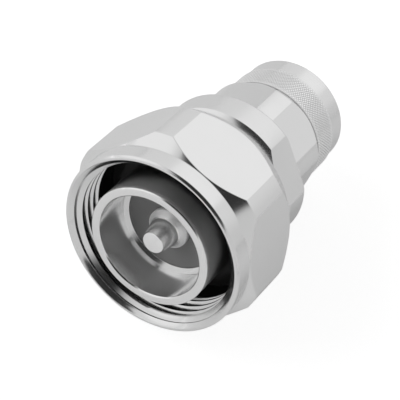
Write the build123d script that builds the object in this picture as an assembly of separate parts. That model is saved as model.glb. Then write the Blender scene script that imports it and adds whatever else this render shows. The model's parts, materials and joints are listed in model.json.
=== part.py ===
from build123d import *
import math
import os

# Coaxial adapter with a 7-16 size plug at one end and an N size plug at the other.
# Every piece is turned about one axis. Stations along it are counted from the rim of the
# large coupling nut, and grow towards the N end. The finished adapter is then laid on its side,
# as it rests on a table: on a flat of the large nut and on the rim of the N nut.

# Clearances
press_clearance = 0.02
running_clearance = 0.05
groove_clearance = 0.10
nut_float_gap = 0.15

# Large coupling nut
nut_thread_dia = 29.0
nut_flat_wall = 1.5
nut_corner_height = 1.6
nut_collar_wall = 1.38
nut_collar_length = 3.4
nut_rim_bevel = 0.35
nut_front_cone_angle = 40.5
nut_rear_cone_angle = 33.3
nut_rear_step = 1.0
nut_mouth_step = 0.7
nut_mouth_bevel = 1.0
nut_cavity_depth = 12.4
nut_relief_depth = 0.3
nut_relief_length = 1.2

# Ring and seal that hold the large nut
nut_land = 0.87
ring_width = 1.0
ring_radial = 1.7
ring_bite = 0.8
ring_gap = 6.0
seal_section = 1.1
seal_slot = 1.45

# Tube round the large pin, from its line bore outwards
line_bore = 16.0
tube_step_width = 1.1
tube_wall = 1.475
tube_proud = 0.4
tube_mouth_depth = 6.95
tube_rim_bevel = 0.2
tube_root_depth = 0.25
tube_shank_wall = 1.6
tube_shank_length = 5.9

# Insulator behind the tube's step
insulator_recess = 0.25
insulator_front_length = 2.2
insulator_flange_length = 2.0
insulator_ledge_width = 0.6
insulator_bore = 4.8

# Centre line of the large end
pin_tip_dia = 3.63
pin_cone_dia = 5.08
pin_cone_length = 2.96
pin_land_length = 0.33
pin_bevel_length = 1.1
pin_head_length = 1.37
line_pin_dia = 7.0
pin_stem_dia = 3.2
pin_stem_length = 5.5
stem_end_gap = 0.6
conductor_end_gap = 0.6

# Main body
neck_wall = 2.4
body_front_proud = 1.8
flange_gap = 2.64
flange_step = 1.4
flange_length = 5.95
flange_flat_depth = 1.0
flange_front_round = 0.75
flange_rear_round = 0.5
stub_step = 1.0
stub_length = 5.85

# Gasket in the large mouth
large_gasket_length = 1.4
large_gasket_width = 1.555

# N half of the body
n_shoulder_dia = 17.2
n_shoulder_length = 0.6
n_shoulder_gap = 0.2
n_neck_clearance = 0.74
n_neck_reach = 2.5
joint_seal_section = 1.0
joint_seal_slot = 1.3
joint_seal_land = 1.6

# N coupling nut, outside
n_flat_wall = 2.31
n_corner_height = 0.75
n_hex_front_bevel = 0.7
n_hex_length = 8.25
n_cone_length = 1.35
n_cone_drop = 0.8
n_groove_width = 0.4
n_groove_depth = 0.33
n_knurl_wall = 2.24
n_knurl_length = 5.25
n_collar_wall = 1.91
n_collar_length = 3.9
n_rim_round = 0.3

# N coupling nut, inside
n_thread_dia = 15.88
n_relief_depth = 0.31
n_relief_length = 1.2
n_mouth_bevel = 0.76
n_land = 0.85
n_ring_width = 0.9
n_ring_radial = 1.6
n_ring_bite = 0.8
n_ring_gap = 4.0
n_seal_section = 1.1
n_seal_slot = 1.3

# N contacts, from the line bore outwards
n_line_bore = 7.0
sleeve_wall = 0.6
sleeve_seat_step = 0.5
sleeve_recess = 1.5
sleeve_shank_length = 3.0
sleeve_slot_width = 0.6
sleeve_slot_length = 4.4
sleeve_root_depth = 0.2
sleeve_slots = 4
sleeve_rim_bevel = 0.15
bead_length = 2.5
bead_bore = 2.6
n_line_pin_dia = 3.04
n_stem_dia = 1.8
n_stem_length = 3.0
n_pin_dia = 1.64
n_pin_recess = 1.2
n_pin_length = 4.4
n_pin_cone_length = 0.5
n_pin_tip_bevel = 0.2
n_gasket_length = 1.2
n_gasket_width = 2.68

# Turn of the flats about the axis, in degrees from the nut flat that faces up
flange_turn = 39.7
n_hex_turn = 24.0

# Diameters of the large end, each built on the one inside it
insulator_flange_dia = line_bore + 2 * insulator_ledge_width
tube_mouth_bore = line_bore + 2 * tube_step_width
tube_dia = tube_mouth_bore + 2 * tube_wall
tube_shank_dia = line_bore + 2 * tube_shank_wall
neck_dia = tube_shank_dia + 2 * neck_wall
flange_dia = neck_dia + 2 * flange_step
flange_flats = flange_dia - 2 * flange_flat_depth
stub_dia = line_bore - 2 * stub_step
large_gasket_bore = tube_dia - 2 * tube_root_depth + 2 * press_clearance
large_gasket_dia = large_gasket_bore + 2 * large_gasket_width

# Diameters of the large nut, built on its thread
nut_flats = nut_thread_dia + 2 * nut_flat_wall
nut_corner_dia = nut_flats + 2 * nut_corner_height
nut_collar_dia = nut_thread_dia + 2 * nut_collar_wall
nut_rear_face_dia = nut_flats - 2 * nut_rear_step
nut_mouth_dia = nut_thread_dia + 2 * nut_mouth_step
nut_relief_dia = nut_thread_dia + 2 * nut_relief_depth

# Diameters of the N end
sleeve_dia = n_line_bore + 2 * sleeve_wall
n_seat_dia = sleeve_dia + 2 * sleeve_seat_step
n_gasket_bore = sleeve_dia - 2 * sleeve_root_depth + 2 * press_clearance
n_gasket_dia = n_gasket_bore + 2 * n_gasket_width
n_neck_dia = n_thread_dia - 2 * n_neck_clearance
n_relief_dia = n_thread_dia + 2 * n_relief_depth
n_mouth_dia = n_thread_dia + 2 * n_mouth_bevel
n_hex_flats = n_thread_dia + 2 * n_flat_wall
n_hex_corner_dia = n_hex_flats + 2 * n_corner_height
n_cone_end_dia = n_hex_corner_dia - 2 * n_cone_drop
n_knurl_dia = n_thread_dia + 2 * n_knurl_wall
n_groove_dia = n_knurl_dia - 2 * n_groove_depth
n_collar_dia = n_thread_dia + 2 * n_collar_wall

# Stations of the large nut and of what turns in it
ring_slot = ring_width + 2 * running_clearance
nut_wall_front = nut_cavity_depth
ring_middle = nut_wall_front + nut_land + ring_slot / 2
seal_front = ring_middle + ring_slot / 2 + nut_land
seal_middle = seal_front + seal_slot / 2
nut_rear = seal_front + seal_slot + nut_land

# Stations of the tube, the insulator and the large pin
body_front = nut_wall_front - body_front_proud
tube_rim = -tube_proud
tube_step = tube_rim + tube_mouth_depth
tube_end = body_front + tube_shank_length
insulator_front = tube_step + insulator_recess
insulator_ledge = insulator_front + insulator_front_length
insulator_back = insulator_ledge + insulator_flange_length
pin_bevel_end = insulator_front - pin_head_length
pin_land_end = pin_bevel_end - pin_bevel_length
pin_cone_end = pin_land_end - pin_land_length
pin_tip = pin_cone_end - pin_cone_length
pin_stem_end = insulator_front + pin_stem_length

# Stations of the flange, the rear half and the N nut
flange_front = nut_rear + flange_gap
flange_rear = flange_front + flange_length
stub_front = flange_rear - stub_length
conductor_step = stub_front - conductor_end_gap
n_shoulder_end = flange_rear + n_shoulder_length
n_nut_front = n_shoulder_end + n_shoulder_gap
n_ring_slot = n_ring_width + 2 * running_clearance
n_ring_middle = n_nut_front + n_land + n_ring_slot / 2
n_seal_front = n_ring_middle + n_ring_slot / 2 + n_land
n_seal_middle = n_seal_front + n_seal_slot / 2
n_wall_rear = n_seal_front + n_seal_slot + n_land
n_hex_end = n_nut_front + n_hex_length
n_cone_end = n_hex_end + n_cone_length
n_knurl_start = n_cone_end + n_groove_width
n_knurl_end = n_knurl_start + n_knurl_length
n_rim = n_knurl_end + n_collar_length

# Stations of the N contacts
n_neck_end = n_wall_rear + n_neck_reach
bead_back = n_neck_end - sleeve_shank_length
bead_front = bead_back - bead_length
sleeve_end = n_rim - sleeve_recess
n_pin_end = sleeve_end - n_pin_recess
n_pin_shoulder = n_pin_end - n_pin_length


def turned(*corners):
    """Solid of revolution from the (radius, station) corners of its section."""
    section = make_face(Polyline(*corners, close=True))
    return revolve(Plane.XZ * section, Axis.Z)


def barrel(dia, start, end):
    """Plain round bar between two stations."""
    return Pos(0, 0, start) * Cylinder(dia / 2, end - start, align=(Align.CENTER, Align.CENTER, Align.MIN))


def prism(flats, start, end, turn):
    """Hexagonal bar between two stations, with a flat facing the given turn."""
    outline = RegularPolygon(flats / 2, 6, major_radius=False, rotation=turn + 30)
    return Pos(0, 0, start) * extrude(outline, end - start)


def open_ring(inner_dia, radial, width, middle, gap):
    """Spring ring of rectangular section, cut through at one place."""
    ring = barrel(inner_dia + 2 * radial, middle - width / 2, middle + width / 2)
    ring -= barrel(inner_dia, middle - width, middle + width)
    cut = Pos(0, (inner_dia + radial) / 2, middle) * Box(gap, 2 * radial, 2 * width)
    return ring - cut


def seal_ring(seat_dia, section, middle):
    """O-ring that lies on the bottom of its groove."""
    return Pos(0, 0, middle) * Torus((seat_dia + section) / 2, section / 2)


def cone_run(radial, angle):
    """Length along the axis in which a cone of this half angle grows by a radial step."""
    return radial / math.tan(math.radians(angle))


def large_coupling_nut():
    """Hexagon nut, turned to a collar in front and to a cone at each end of its flats."""
    corner = nut_corner_dia / 2
    collar = nut_collar_dia / 2
    back = nut_rear_face_dia / 2
    front_cone = nut_collar_length + cone_run(corner - collar, nut_front_cone_angle)
    rear_cone = nut_rear - cone_run(corner - back, nut_rear_cone_angle)
    shell = turned(
        (0, 0),
        (collar - nut_rim_bevel, 0),
        (collar, nut_rim_bevel),
        (collar, nut_collar_length),
        (corner, front_cone),
        (corner, rear_cone),
        (back, nut_rear),
        (0, nut_rear),
    )
    shell &= prism(nut_flats, 0, nut_rear, 0)
    thread = nut_thread_dia / 2
    relief = nut_relief_dia / 2
    cavity = turned(
        (0, 0),
        (nut_mouth_dia / 2, 0),
        (thread, nut_mouth_bevel),
        (thread, nut_wall_front - nut_relief_length),
        (relief, nut_wall_front - nut_relief_length),
        (relief, nut_wall_front),
        (0, nut_wall_front),
    )
    slot_dia = neck_dia + 2 * (ring_bite + groove_clearance)
    shell -= cavity
    shell -= barrel(neck_dia + 2 * running_clearance, 0, nut_rear)
    return shell - barrel(slot_dia, ring_middle - ring_slot / 2, ring_middle + ring_slot / 2)


def large_retaining_ring():
    """Spring ring that sits half in the neck and half in the large nut."""
    inner_dia = neck_dia + 2 * (ring_bite - ring_radial)
    return open_ring(inner_dia, ring_radial, ring_width, ring_middle, ring_gap)


def large_nut_seal():
    """O-ring in the neck, under the rear of the large nut."""
    return seal_ring(neck_dia - 2 * seal_section, seal_section, seal_middle)


def large_outer_contact():
    """Tube that takes the mating contact: undercut for its gasket, and pressed into the body."""
    mouth = tube_mouth_bore / 2
    outside = tube_dia / 2
    shank = tube_shank_dia / 2
    line = line_bore / 2
    seat = insulator_flange_dia / 2
    gasket_front = body_front - large_gasket_length
    return turned(
        (mouth + tube_rim_bevel, tube_rim),
        (outside - tube_rim_bevel, tube_rim),
        (outside, tube_rim + tube_rim_bevel),
        (outside, gasket_front),
        (outside - tube_root_depth, gasket_front),
        (outside - tube_root_depth, body_front),
        (shank, body_front),
        (shank, tube_end),
        (seat, tube_end),
        (seat, insulator_ledge),
        (line, insulator_ledge),
        (line, tube_step),
        (mouth, tube_step),
        (mouth, tube_rim + tube_rim_bevel),
    )


def large_insulator():
    """Disc with a flange that seats on the ledge inside the tube."""
    disc = barrel(line_bore - 2 * press_clearance, insulator_front, insulator_back)
    disc += barrel(insulator_flange_dia - 2 * press_clearance, insulator_ledge, insulator_back)
    return disc - barrel(insulator_bore, insulator_front, insulator_back)


def insulator_clamp_bush():
    """Plain bush between the insulator and the body."""
    bush = barrel(insulator_flange_dia - 2 * press_clearance, insulator_back, tube_end)
    return bush - barrel(line_bore, insulator_back, tube_end)


def large_centre_pin():
    """Pin with a long cone and a bevel, and a stem that screws into the conductor."""
    return turned(
        (0, pin_tip),
        (pin_tip_dia / 2, pin_tip),
        (pin_cone_dia / 2, pin_cone_end),
        (pin_cone_dia / 2, pin_land_end),
        (line_pin_dia / 2, pin_bevel_end),
        (line_pin_dia / 2, insulator_front),
        (pin_stem_dia / 2, insulator_front),
        (pin_stem_dia / 2, pin_stem_end),
        (0, pin_stem_end),
    )


def centre_conductor():
    """Conductor that clamps both insulators, with a tapped hole in each end."""
    rod = barrel(insulator_bore - 2 * press_clearance, insulator_front, insulator_back)
    rod += barrel(line_pin_dia, insulator_back, conductor_step)
    rod += barrel(n_line_pin_dia, conductor_step, bead_front)
    front_hole_end = pin_stem_end + stem_end_gap
    rear_hole_start = bead_front - n_stem_length - stem_end_gap
    rod -= barrel(pin_stem_dia + 2 * press_clearance, insulator_front, front_hole_end)
    return rod - barrel(n_stem_dia + 2 * press_clearance, rear_hole_start, bead_front)


def main_body():
    """Front half of the body: neck for the nut, and a round flange with two wrench flats."""
    flange = barrel(flange_dia, flange_front, flange_rear)
    front_edge = flange.edges().filter_by(GeomType.CIRCLE).sort_by(Axis.Z)[0]
    flange = fillet(front_edge, flange_front_round)
    rear_edge = flange.edges().filter_by(GeomType.CIRCLE).sort_by(Axis.Z)[-1]
    flange = fillet(rear_edge, flange_rear_round)
    body = flange + barrel(neck_dia, body_front, flange_front)
    slab = Box(flange_flats, 2 * flange_dia, flange_rear - body_front)
    body &= Pos(0, 0, (body_front + flange_rear) / 2) * Rot(0, 0, flange_turn) * slab
    body -= neck_groove(neck_dia, ring_radial - ring_bite + groove_clearance, ring_middle, ring_width + 2 * nut_float_gap)
    body -= neck_groove(neck_dia, seal_section, seal_middle, seal_slot)
    body -= barrel(tube_shank_dia + 2 * press_clearance, body_front, tube_end)
    body -= barrel(line_bore, tube_end, stub_front)
    return body - barrel(stub_dia + 2 * press_clearance, stub_front, flange_rear)


def neck_groove(dia, depth, middle, width):
    """Ring of waste that a groove takes off a neck."""
    waste = barrel(dia + 2 * depth, middle - width / 2, middle + width / 2)
    return waste - barrel(dia - 2 * depth, middle - width / 2, middle + width / 2)


def large_face_gasket():
    """Flat rubber ring round the tube, on the front of the body."""
    ring = barrel(large_gasket_dia, body_front - large_gasket_length, body_front)
    return ring - barrel(large_gasket_bore, body_front - large_gasket_length, body_front)


def n_body():
    """Rear half of the body: stub, shoulder, and the neck of the N nut."""
    body = barrel(stub_dia, stub_front, flange_rear)
    body += barrel(n_shoulder_dia, flange_rear, n_shoulder_end)
    body += barrel(n_neck_dia, n_shoulder_end, n_neck_end)
    ring_depth = n_ring_radial - n_ring_bite + groove_clearance
    body -= neck_groove(n_neck_dia, ring_depth, n_ring_middle, n_ring_width + 2 * nut_float_gap)
    body -= neck_groove(n_neck_dia, n_seal_section, n_seal_middle, n_seal_slot)
    body -= neck_groove(stub_dia, joint_seal_section, joint_seal_station(), joint_seal_slot)
    body -= barrel(n_line_bore, stub_front, bead_front)
    return body - barrel(n_seat_dia + 2 * press_clearance, bead_front, n_neck_end)


def joint_seal_station():
    """Middle of the groove near the root of the stub."""
    return flange_rear - joint_seal_land - joint_seal_slot / 2


def body_joint_seal():
    """O-ring in the stub, where the two halves of the body join."""
    return seal_ring(stub_dia - 2 * joint_seal_section, joint_seal_section, joint_seal_station())


def n_insulator():
    """Bead that carries the N pin."""
    return barrel(n_seat_dia, bead_front, bead_back) - barrel(bead_bore, bead_front, bead_back)


def n_outer_contact():
    """Sleeve slotted into spring fingers, with a shank pressed into the body."""
    outside = sleeve_dia / 2
    line = n_line_bore / 2
    gasket_end = n_neck_end + n_gasket_length
    sleeve = turned(
        (line, bead_back),
        (n_seat_dia / 2, bead_back),
        (n_seat_dia / 2, n_neck_end),
        (outside - sleeve_root_depth, n_neck_end),
        (outside - sleeve_root_depth, gasket_end),
        (outside, gasket_end),
        (outside, sleeve_end - sleeve_rim_bevel),
        (outside - sleeve_rim_bevel, sleeve_end),
        (line + sleeve_rim_bevel, sleeve_end),
        (line, sleeve_end - sleeve_rim_bevel),
    )
    slot = Box(sleeve_dia, sleeve_slot_width, sleeve_slot_length, align=(Align.MIN, Align.CENTER, Align.MAX))
    for count in range(sleeve_slots):
        sleeve -= Pos(0, 0, sleeve_end) * Rot(0, 0, count * 360 / sleeve_slots) * slot
    return sleeve


def n_centre_pin():
    """N size pin: stem, hub through the bead, line section, cone and contact tip."""
    tip = n_pin_dia / 2
    line = n_line_pin_dia / 2
    hub = bead_bore / 2 - press_clearance
    return turned(
        (0, bead_front - n_stem_length),
        (n_stem_dia / 2, bead_front - n_stem_length),
        (n_stem_dia / 2, bead_front),
        (hub, bead_front),
        (hub, bead_back),
        (line, bead_back),
        (line, n_pin_shoulder),
        (tip, n_pin_shoulder + n_pin_cone_length),
        (tip, n_pin_end - n_pin_tip_bevel),
        (tip - n_pin_tip_bevel, n_pin_end),
        (0, n_pin_end),
    )


def n_face_gasket():
    """Flat rubber ring round the sleeve, on the end of the neck."""
    ring = barrel(n_gasket_dia, n_neck_end, n_neck_end + n_gasket_length)
    return ring - barrel(n_gasket_bore, n_neck_end, n_neck_end + n_gasket_length)


def n_retaining_ring():
    """Spring ring that sits half in the N neck and half in its nut."""
    inner_dia = n_neck_dia + 2 * (n_ring_bite - n_ring_radial)
    return open_ring(inner_dia, n_ring_radial, n_ring_width, n_ring_middle, n_ring_gap)


def n_nut_seal():
    """O-ring in the N neck, under its nut."""
    return seal_ring(n_neck_dia - 2 * n_seal_section, n_seal_section, n_seal_middle)


def n_coupling_nut():
    """Nut with a hexagon, a groove, the knurled band at its full size and a plain end."""
    corner = n_hex_corner_dia / 2
    groove = n_groove_dia / 2
    knurl = n_knurl_dia / 2
    collar = n_collar_dia / 2
    hexagon = turned(
        (0, n_nut_front),
        (corner - n_hex_front_bevel, n_nut_front),
        (corner, n_nut_front + n_hex_front_bevel),
        (corner, n_hex_end),
        (n_cone_end_dia / 2, n_cone_end),
        (0, n_cone_end),
    )
    hexagon &= prism(n_hex_flats, n_nut_front, n_cone_end, n_hex_turn)
    barrel_end = turned(
        (0, n_cone_end),
        (groove, n_cone_end),
        (groove, n_knurl_start),
        (knurl, n_knurl_start),
        (knurl, n_knurl_end),
        (collar, n_knurl_end),
        (collar, n_rim),
        (0, n_rim),
    )
    rim_edge = barrel_end.edges().filter_by(GeomType.CIRCLE).group_by(Axis.Z)[-1]
    nut = hexagon + fillet(rim_edge, n_rim_round)
    thread = n_thread_dia / 2
    relief = n_relief_dia / 2
    nut -= turned(
        (0, n_wall_rear),
        (relief, n_wall_rear),
        (relief, n_wall_rear + n_relief_length),
        (thread, n_wall_rear + n_relief_length),
        (thread, n_rim - n_mouth_bevel),
        (n_mouth_dia / 2, n_rim),
        (0, n_rim),
    )
    slot_dia = n_neck_dia + 2 * (n_ring_bite + groove_clearance)
    nut -= barrel(n_neck_dia + 2 * running_clearance, n_nut_front, n_rim)
    return nut - barrel(slot_dia, n_ring_middle - n_ring_slot / 2, n_ring_middle + n_ring_slot / 2)


def rest_tilt():
    """Angle by which the axis leans down to the N end when the adapter lies on a table.

    It touches with the rear edge of a nut flat and with the rounded rim of the N nut.
    """
    drop = nut_flats / 2 - (n_collar_dia / 2 - n_rim_round)
    run = n_rim - n_rim_round - nut_flat_end()
    return math.degrees(math.acos(n_rim_round / math.hypot(drop, run)) - math.atan2(run, drop))


def nut_flat_end():
    """Station where the rear cone meets the middle of a nut flat."""
    return nut_rear - cone_run((nut_flats - nut_rear_face_dia) / 2, nut_rear_cone_angle)


pieces = {
    "large_coupling_nut": large_coupling_nut(),
    "large_retaining_ring": large_retaining_ring(),
    "large_nut_seal": large_nut_seal(),
    "large_outer_contact": large_outer_contact(),
    "large_insulator": large_insulator(),
    "insulator_clamp_bush": insulator_clamp_bush(),
    "large_centre_pin": large_centre_pin(),
    "centre_conductor": centre_conductor(),
    "large_face_gasket": large_face_gasket(),
    "main_body": main_body(),
    "n_body": n_body(),
    "body_joint_seal": body_joint_seal(),
    "n_insulator": n_insulator(),
    "n_outer_contact": n_outer_contact(),
    "n_centre_pin": n_centre_pin(),
    "n_face_gasket": n_face_gasket(),
    "n_retaining_ring": n_retaining_ring(),
    "n_nut_seal": n_nut_seal(),
    "n_coupling_nut": n_coupling_nut(),
}

# Lay the axis down along X, lean it to the table, and centre the whole on the origin
tilt = rest_tilt()
lean = math.radians(tilt)
along = (math.cos(lean), 0, -math.sin(lean))
flat_up = (math.sin(lean), 0, math.cos(lean))
axis_height = nut_flats / 2 * math.cos(lean) + nut_flat_end() * math.sin(lean)
laid = Plane(origin=(0, 0, axis_height), x_dir=flat_up, z_dir=along).location
whole = Compound([laid * piece for piece in pieces.values()]).bounding_box()
axis_start = (-whole.center().X, 0, axis_height)
place = Plane(origin=axis_start, x_dir=flat_up, z_dir=along).location

os.makedirs("parts", exist_ok=True)
for name, piece in pieces.items():
    export_step(place * piece, "parts/" + name + ".step")
print("axis leans", round(tilt, 4), "degrees, starts at", [round(value, 4) for value in axis_start])
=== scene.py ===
# %% [markdown]
# # A coaxial adapter, dressed for a product picture
# The construction of the adapter is already settled and packed: pieces, sizes and joints. This
# lesson loads it as a fixed frame and gives it its looks. The coupling nuts, the body, the tube, the
# sleeve and both pins are turned again here on a digital lathe, with broken or bevelled edges. The
# nuts get their threads as well, and the small one its knurl.

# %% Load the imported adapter
import bpy
import json
import math
from mathutils import Euler, Matrix, Vector


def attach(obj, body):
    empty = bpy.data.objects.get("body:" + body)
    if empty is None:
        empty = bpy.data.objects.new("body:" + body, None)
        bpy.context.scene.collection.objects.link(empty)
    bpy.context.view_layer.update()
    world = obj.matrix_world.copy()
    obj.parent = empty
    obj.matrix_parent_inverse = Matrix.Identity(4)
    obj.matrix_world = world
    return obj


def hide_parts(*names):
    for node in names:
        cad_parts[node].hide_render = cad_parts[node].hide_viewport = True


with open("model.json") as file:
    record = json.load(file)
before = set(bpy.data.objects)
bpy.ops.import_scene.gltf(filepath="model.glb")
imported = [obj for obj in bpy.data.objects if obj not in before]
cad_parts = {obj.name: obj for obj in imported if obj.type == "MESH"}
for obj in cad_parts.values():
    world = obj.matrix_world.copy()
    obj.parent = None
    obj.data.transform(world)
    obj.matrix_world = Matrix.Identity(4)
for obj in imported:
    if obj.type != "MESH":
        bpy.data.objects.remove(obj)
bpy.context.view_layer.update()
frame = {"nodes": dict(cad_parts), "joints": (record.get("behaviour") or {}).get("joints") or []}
print("nodes:", sorted(frame["nodes"]))

# %% [markdown]
# Every piece of the adapter is turned about one axis, which leans a little because the adapter lies
# on its side. It is far easier to work along an upright axis at the origin, in millimetres, and to
# lay each finished piece down at the end. The joint of the large nut gives the place and the
# direction of the axis: it sits at the nut's retaining ring. Station 0 is the rim of the large nut,
# and stations grow to the far end.

# %% Find the adapter's own axis
MM = 0.001
ring_station = 13.82

turn_joint = [joint for joint in frame["joints"] if joint["name"] == "large_nut_turn"][0]
along = Vector(turn_joint["axis"]).normalized()
rim_centre = Vector(turn_joint["pos_m"]) - along * ring_station * MM
side = Vector((0, -1, 0))
flat_up = side.cross(along)
laid_down = Matrix.Translation(rim_centre) @ Matrix((flat_up, side, along)).transposed().to_4x4()
print("rim centre", [round(v, 5) for v in rim_centre], "axis", [round(v, 4) for v in along])

# %% [markdown]
# The camera comes before the making. It stands where the photographer stood: above and in front of
# the open end, turned so that the adapter runs up to the right. The long lens keeps the far end
# nearly as large as the near one.

# %% Set up the camera
camera_data = bpy.data.cameras.new("camera")
camera = bpy.data.objects.new("camera", camera_data)
bpy.context.scene.collection.objects.link(camera)
bpy.context.scene.camera = camera
camera.location = (-0.14725592, -0.02476015, 0.23081324)
camera.rotation_euler = Euler([math.radians(v) for v in (29.112963, -17.254393, -52.00768)])
camera_data.sensor_width = 36
camera_data.lens = 144
camera_data.clip_start = 0.01
print("camera", [round(v, 3) for v in camera.location])

# %% [markdown]
# A lathe cuts a solid whose section never changes. The matching way in Blender is Spin: draw one
# half of the section, corner by corner, and spin it round the axis. A plane merged to one point
# is the pencil, and each extrude draws one straight line of the section. A groove is drawn so often
# that its four corners get a helper of their own.

# %% Draw a section and spin it
SPIN_STEPS = 192
WELD_DISTANCE = 0.001


def clear_bench():
    """Deselect everything, because an operator acts on all that is selected."""
    bpy.ops.object.select_all(action="DESELECT")


def groove(surface, bottom, first_wall, second_wall):
    """The four corners of a square groove, in the order in which the section meets its walls."""
    return [(surface, first_wall), (bottom, first_wall), (bottom, second_wall), (surface, second_wall)]


def draw_section(name, corners, closed=True):
    """A chain of edges through (radius, station) corners; a solid bar's chain stays open on the axis."""
    clear_bench()
    first = corners[0]
    bpy.ops.mesh.primitive_plane_add(size=1, location=(first[0], 0, first[1]))
    piece = bpy.context.object
    piece.name = name
    bpy.ops.object.transform_apply(location=True)
    bpy.ops.object.mode_set(mode="EDIT")
    bpy.ops.mesh.select_mode(type="VERT")
    bpy.ops.mesh.select_all(action="SELECT")
    bpy.ops.mesh.merge(type="CENTER")
    ends = corners[1:] + corners[:1] if closed else corners[1:]
    for here, there in zip(corners, ends):
        step = (there[0] - here[0], 0, there[1] - here[1])
        bpy.ops.mesh.extrude_vertices_move(TRANSFORM_OT_translate={"value": step})
    return piece


def turn_piece(name, corners, closed=True, steps=SPIN_STEPS):
    """Spin a section all the way round, close its seam and point its faces outwards."""
    piece = draw_section(name, corners, closed)
    bpy.ops.mesh.select_all(action="SELECT")
    bpy.ops.mesh.spin(steps=steps, angle=math.tau, center=(0, 0, 0), axis=(0, 0, 1))
    bpy.ops.mesh.select_all(action="SELECT")
    bpy.ops.mesh.remove_doubles(threshold=WELD_DISTANCE)
    bpy.ops.mesh.normals_make_consistent(inside=False)
    bpy.ops.object.mode_set(mode="OBJECT")
    print(name, "turned:", len(piece.data.vertices), "vertices")
    return piece


# %% [markdown]
# Hexagon flats are milled off the turned blank. Bisect does the same: it cuts with a plane, throws
# away what is outside and fills the cut. Where the plane meets a turned cone it leaves the curved
# edge that every real nut has, and nobody has to draw it.

# %% Mill flats
FLAT_TOLERANCE = 0.002


def mill_flats(piece, half_width, count, first_turn):
    """Cut equal flats round the axis, the first one facing the given turn in degrees."""
    bpy.context.view_layer.objects.active = piece
    bpy.ops.object.mode_set(mode="EDIT")
    for number in range(count):
        turn = math.radians(first_turn + number * 360 / count)
        normal = Vector((math.cos(turn), math.sin(turn), 0))
        bpy.ops.mesh.select_all(action="SELECT")
        bpy.ops.mesh.bisect(plane_co=normal * half_width, plane_no=normal, use_fill=True,
                            clear_outer=True, threshold=0.0001)
    bpy.ops.object.mode_set(mode="OBJECT")
    piece["flats"] = [half_width, count, first_turn]
    print(piece.name, "milled:", count, "flats")


def mark_flats(piece):
    """Give the milled faces a material slot of their own, number 1."""
    half_width, count, first_turn = piece["flats"]
    for face in piece.data.polygons:
        turn = math.atan2(face.normal.y, face.normal.x) - math.radians(first_turn)
        steps = turn / (math.tau / count)
        turned_so = abs(steps - round(steps)) < FLAT_TOLERANCE
        upright = abs(face.normal.z) < FLAT_TOLERANCE / 2
        on_flat = abs(face.center.xy.dot(face.normal.xy) - half_width) < FLAT_TOLERANCE
        face.material_index = 1 if turned_so and upright and on_flat else 0


# %% [markdown]
# No edge of a turned and plated piece is sharp. A narrow bevel in three segments rounds each sharp
# edge, and that thin round is what catches the light.

# %% Break edges
def break_edges(piece, width, sharpness=18, segments=3):
    """Take the sharpness off every edge, as tumbling and plating do."""
    bpy.context.view_layer.objects.active = piece
    bpy.ops.object.mode_set(mode="EDIT")
    bpy.ops.mesh.select_mode(type="EDGE")
    bpy.ops.mesh.select_all(action="DESELECT")
    bpy.ops.mesh.edges_select_sharp(sharpness=math.radians(sharpness))
    bpy.ops.mesh.bevel(offset=width, segments=segments, affect="EDGES", clamp_overlap=True)
    bpy.ops.object.mode_set(mode="OBJECT")
    print(piece.name, "edges broken:", len(piece.data.polygons), "faces")


# %% [markdown]
# A finished piece is shaded smooth up to its sharper edges, moved from the bench to its place in
# metres, and told which body carries it. Weighted normals keep the large faces even beside the
# narrow rounds.

# %% Lay a finished piece down
def lay_down(piece, body, smooth_angle=32):
    """Shade the finished piece, lay it on its place and let it ride on its body."""
    clear_bench()
    piece.select_set(True)
    bpy.context.view_layer.objects.active = piece
    bpy.ops.object.shade_smooth_by_angle(angle=math.radians(smooth_angle))
    piece.matrix_world = laid_down @ Matrix.Scale(MM, 4)
    bpy.ops.object.transform_apply(location=True, rotation=True, scale=True)
    even = piece.modifiers.new("even", "WEIGHTED_NORMAL")
    even.keep_sharp = True
    bpy.ops.object.modifier_apply(modifier=even.name)
    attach(piece, body)
    print(piece.name, "laid down on", body)
    return piece


# %% [markdown]
# ## The large coupling nut
# It is a 32 mm hexagon with a round collar at its mouth and a cone at each end of the flats. The
# section below goes once round its wall: collar, cones, rear face, the bore with the groove of the
# retaining ring, the relief at the bottom of the thread, and the mouth.

# %% Turn and mill the large nut
nut_flats = 32.0
nut_corner_radius = 17.6
nut_rim_radius = 15.53
nut_rim_bevel = 0.35
nut_collar_radius = 15.88
nut_collar_end = 3.4
nut_front_cone_end = 5.41
nut_rear_cone_start = 13.6
nut_rear = 17.56
nut_rear_radius = 15.0
nut_bore_radius = 12.05
nut_groove_radius = 12.9
nut_groove_front = 13.27
nut_groove_rear = 14.37
nut_wall_front = 12.4
nut_relief_radius = 14.8
nut_relief_front = 11.2
nut_thread_radius = 14.5
nut_mouth_radius = 15.2
nut_mouth_depth = 0.7

nut_corners = [
    (nut_rim_radius, 0),
    (nut_collar_radius, nut_rim_bevel),
    (nut_collar_radius, nut_collar_end),
    (nut_corner_radius, nut_front_cone_end),
    (nut_corner_radius, nut_rear_cone_start),
    (nut_rear_radius, nut_rear),
    (nut_bore_radius, nut_rear),
    *groove(nut_bore_radius, nut_groove_radius, nut_groove_rear, nut_groove_front),
    (nut_bore_radius, nut_wall_front),
    (nut_relief_radius, nut_wall_front),
    (nut_relief_radius, nut_relief_front),
    (nut_thread_radius, nut_relief_front),
    (nut_thread_radius, nut_mouth_depth),
    (nut_mouth_radius, 0),
]
large_nut = turn_piece("large_nut", nut_corners)
mill_flats(large_nut, nut_flats / 2, count=6, first_turn=0)
break_edges(large_nut, width=0.09)

# %% [markdown]
# ## The threads
# A coupling thread is a ridge that climbs round the bore. The Screw modifier sweeps a section
# round the axis while it climbs, so one small trapezium with flanks of 60 degrees makes the whole
# thread. Its depth, and half its width at the base and at the crest, are shares of the pitch, and its
# base sinks a little into the wall. At both ends the ridge is pushed back into the wall over a part
# of a turn, as a thread runs out. At the large mouth the countersink cuts the first turn down to its
# own cone instead.

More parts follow.
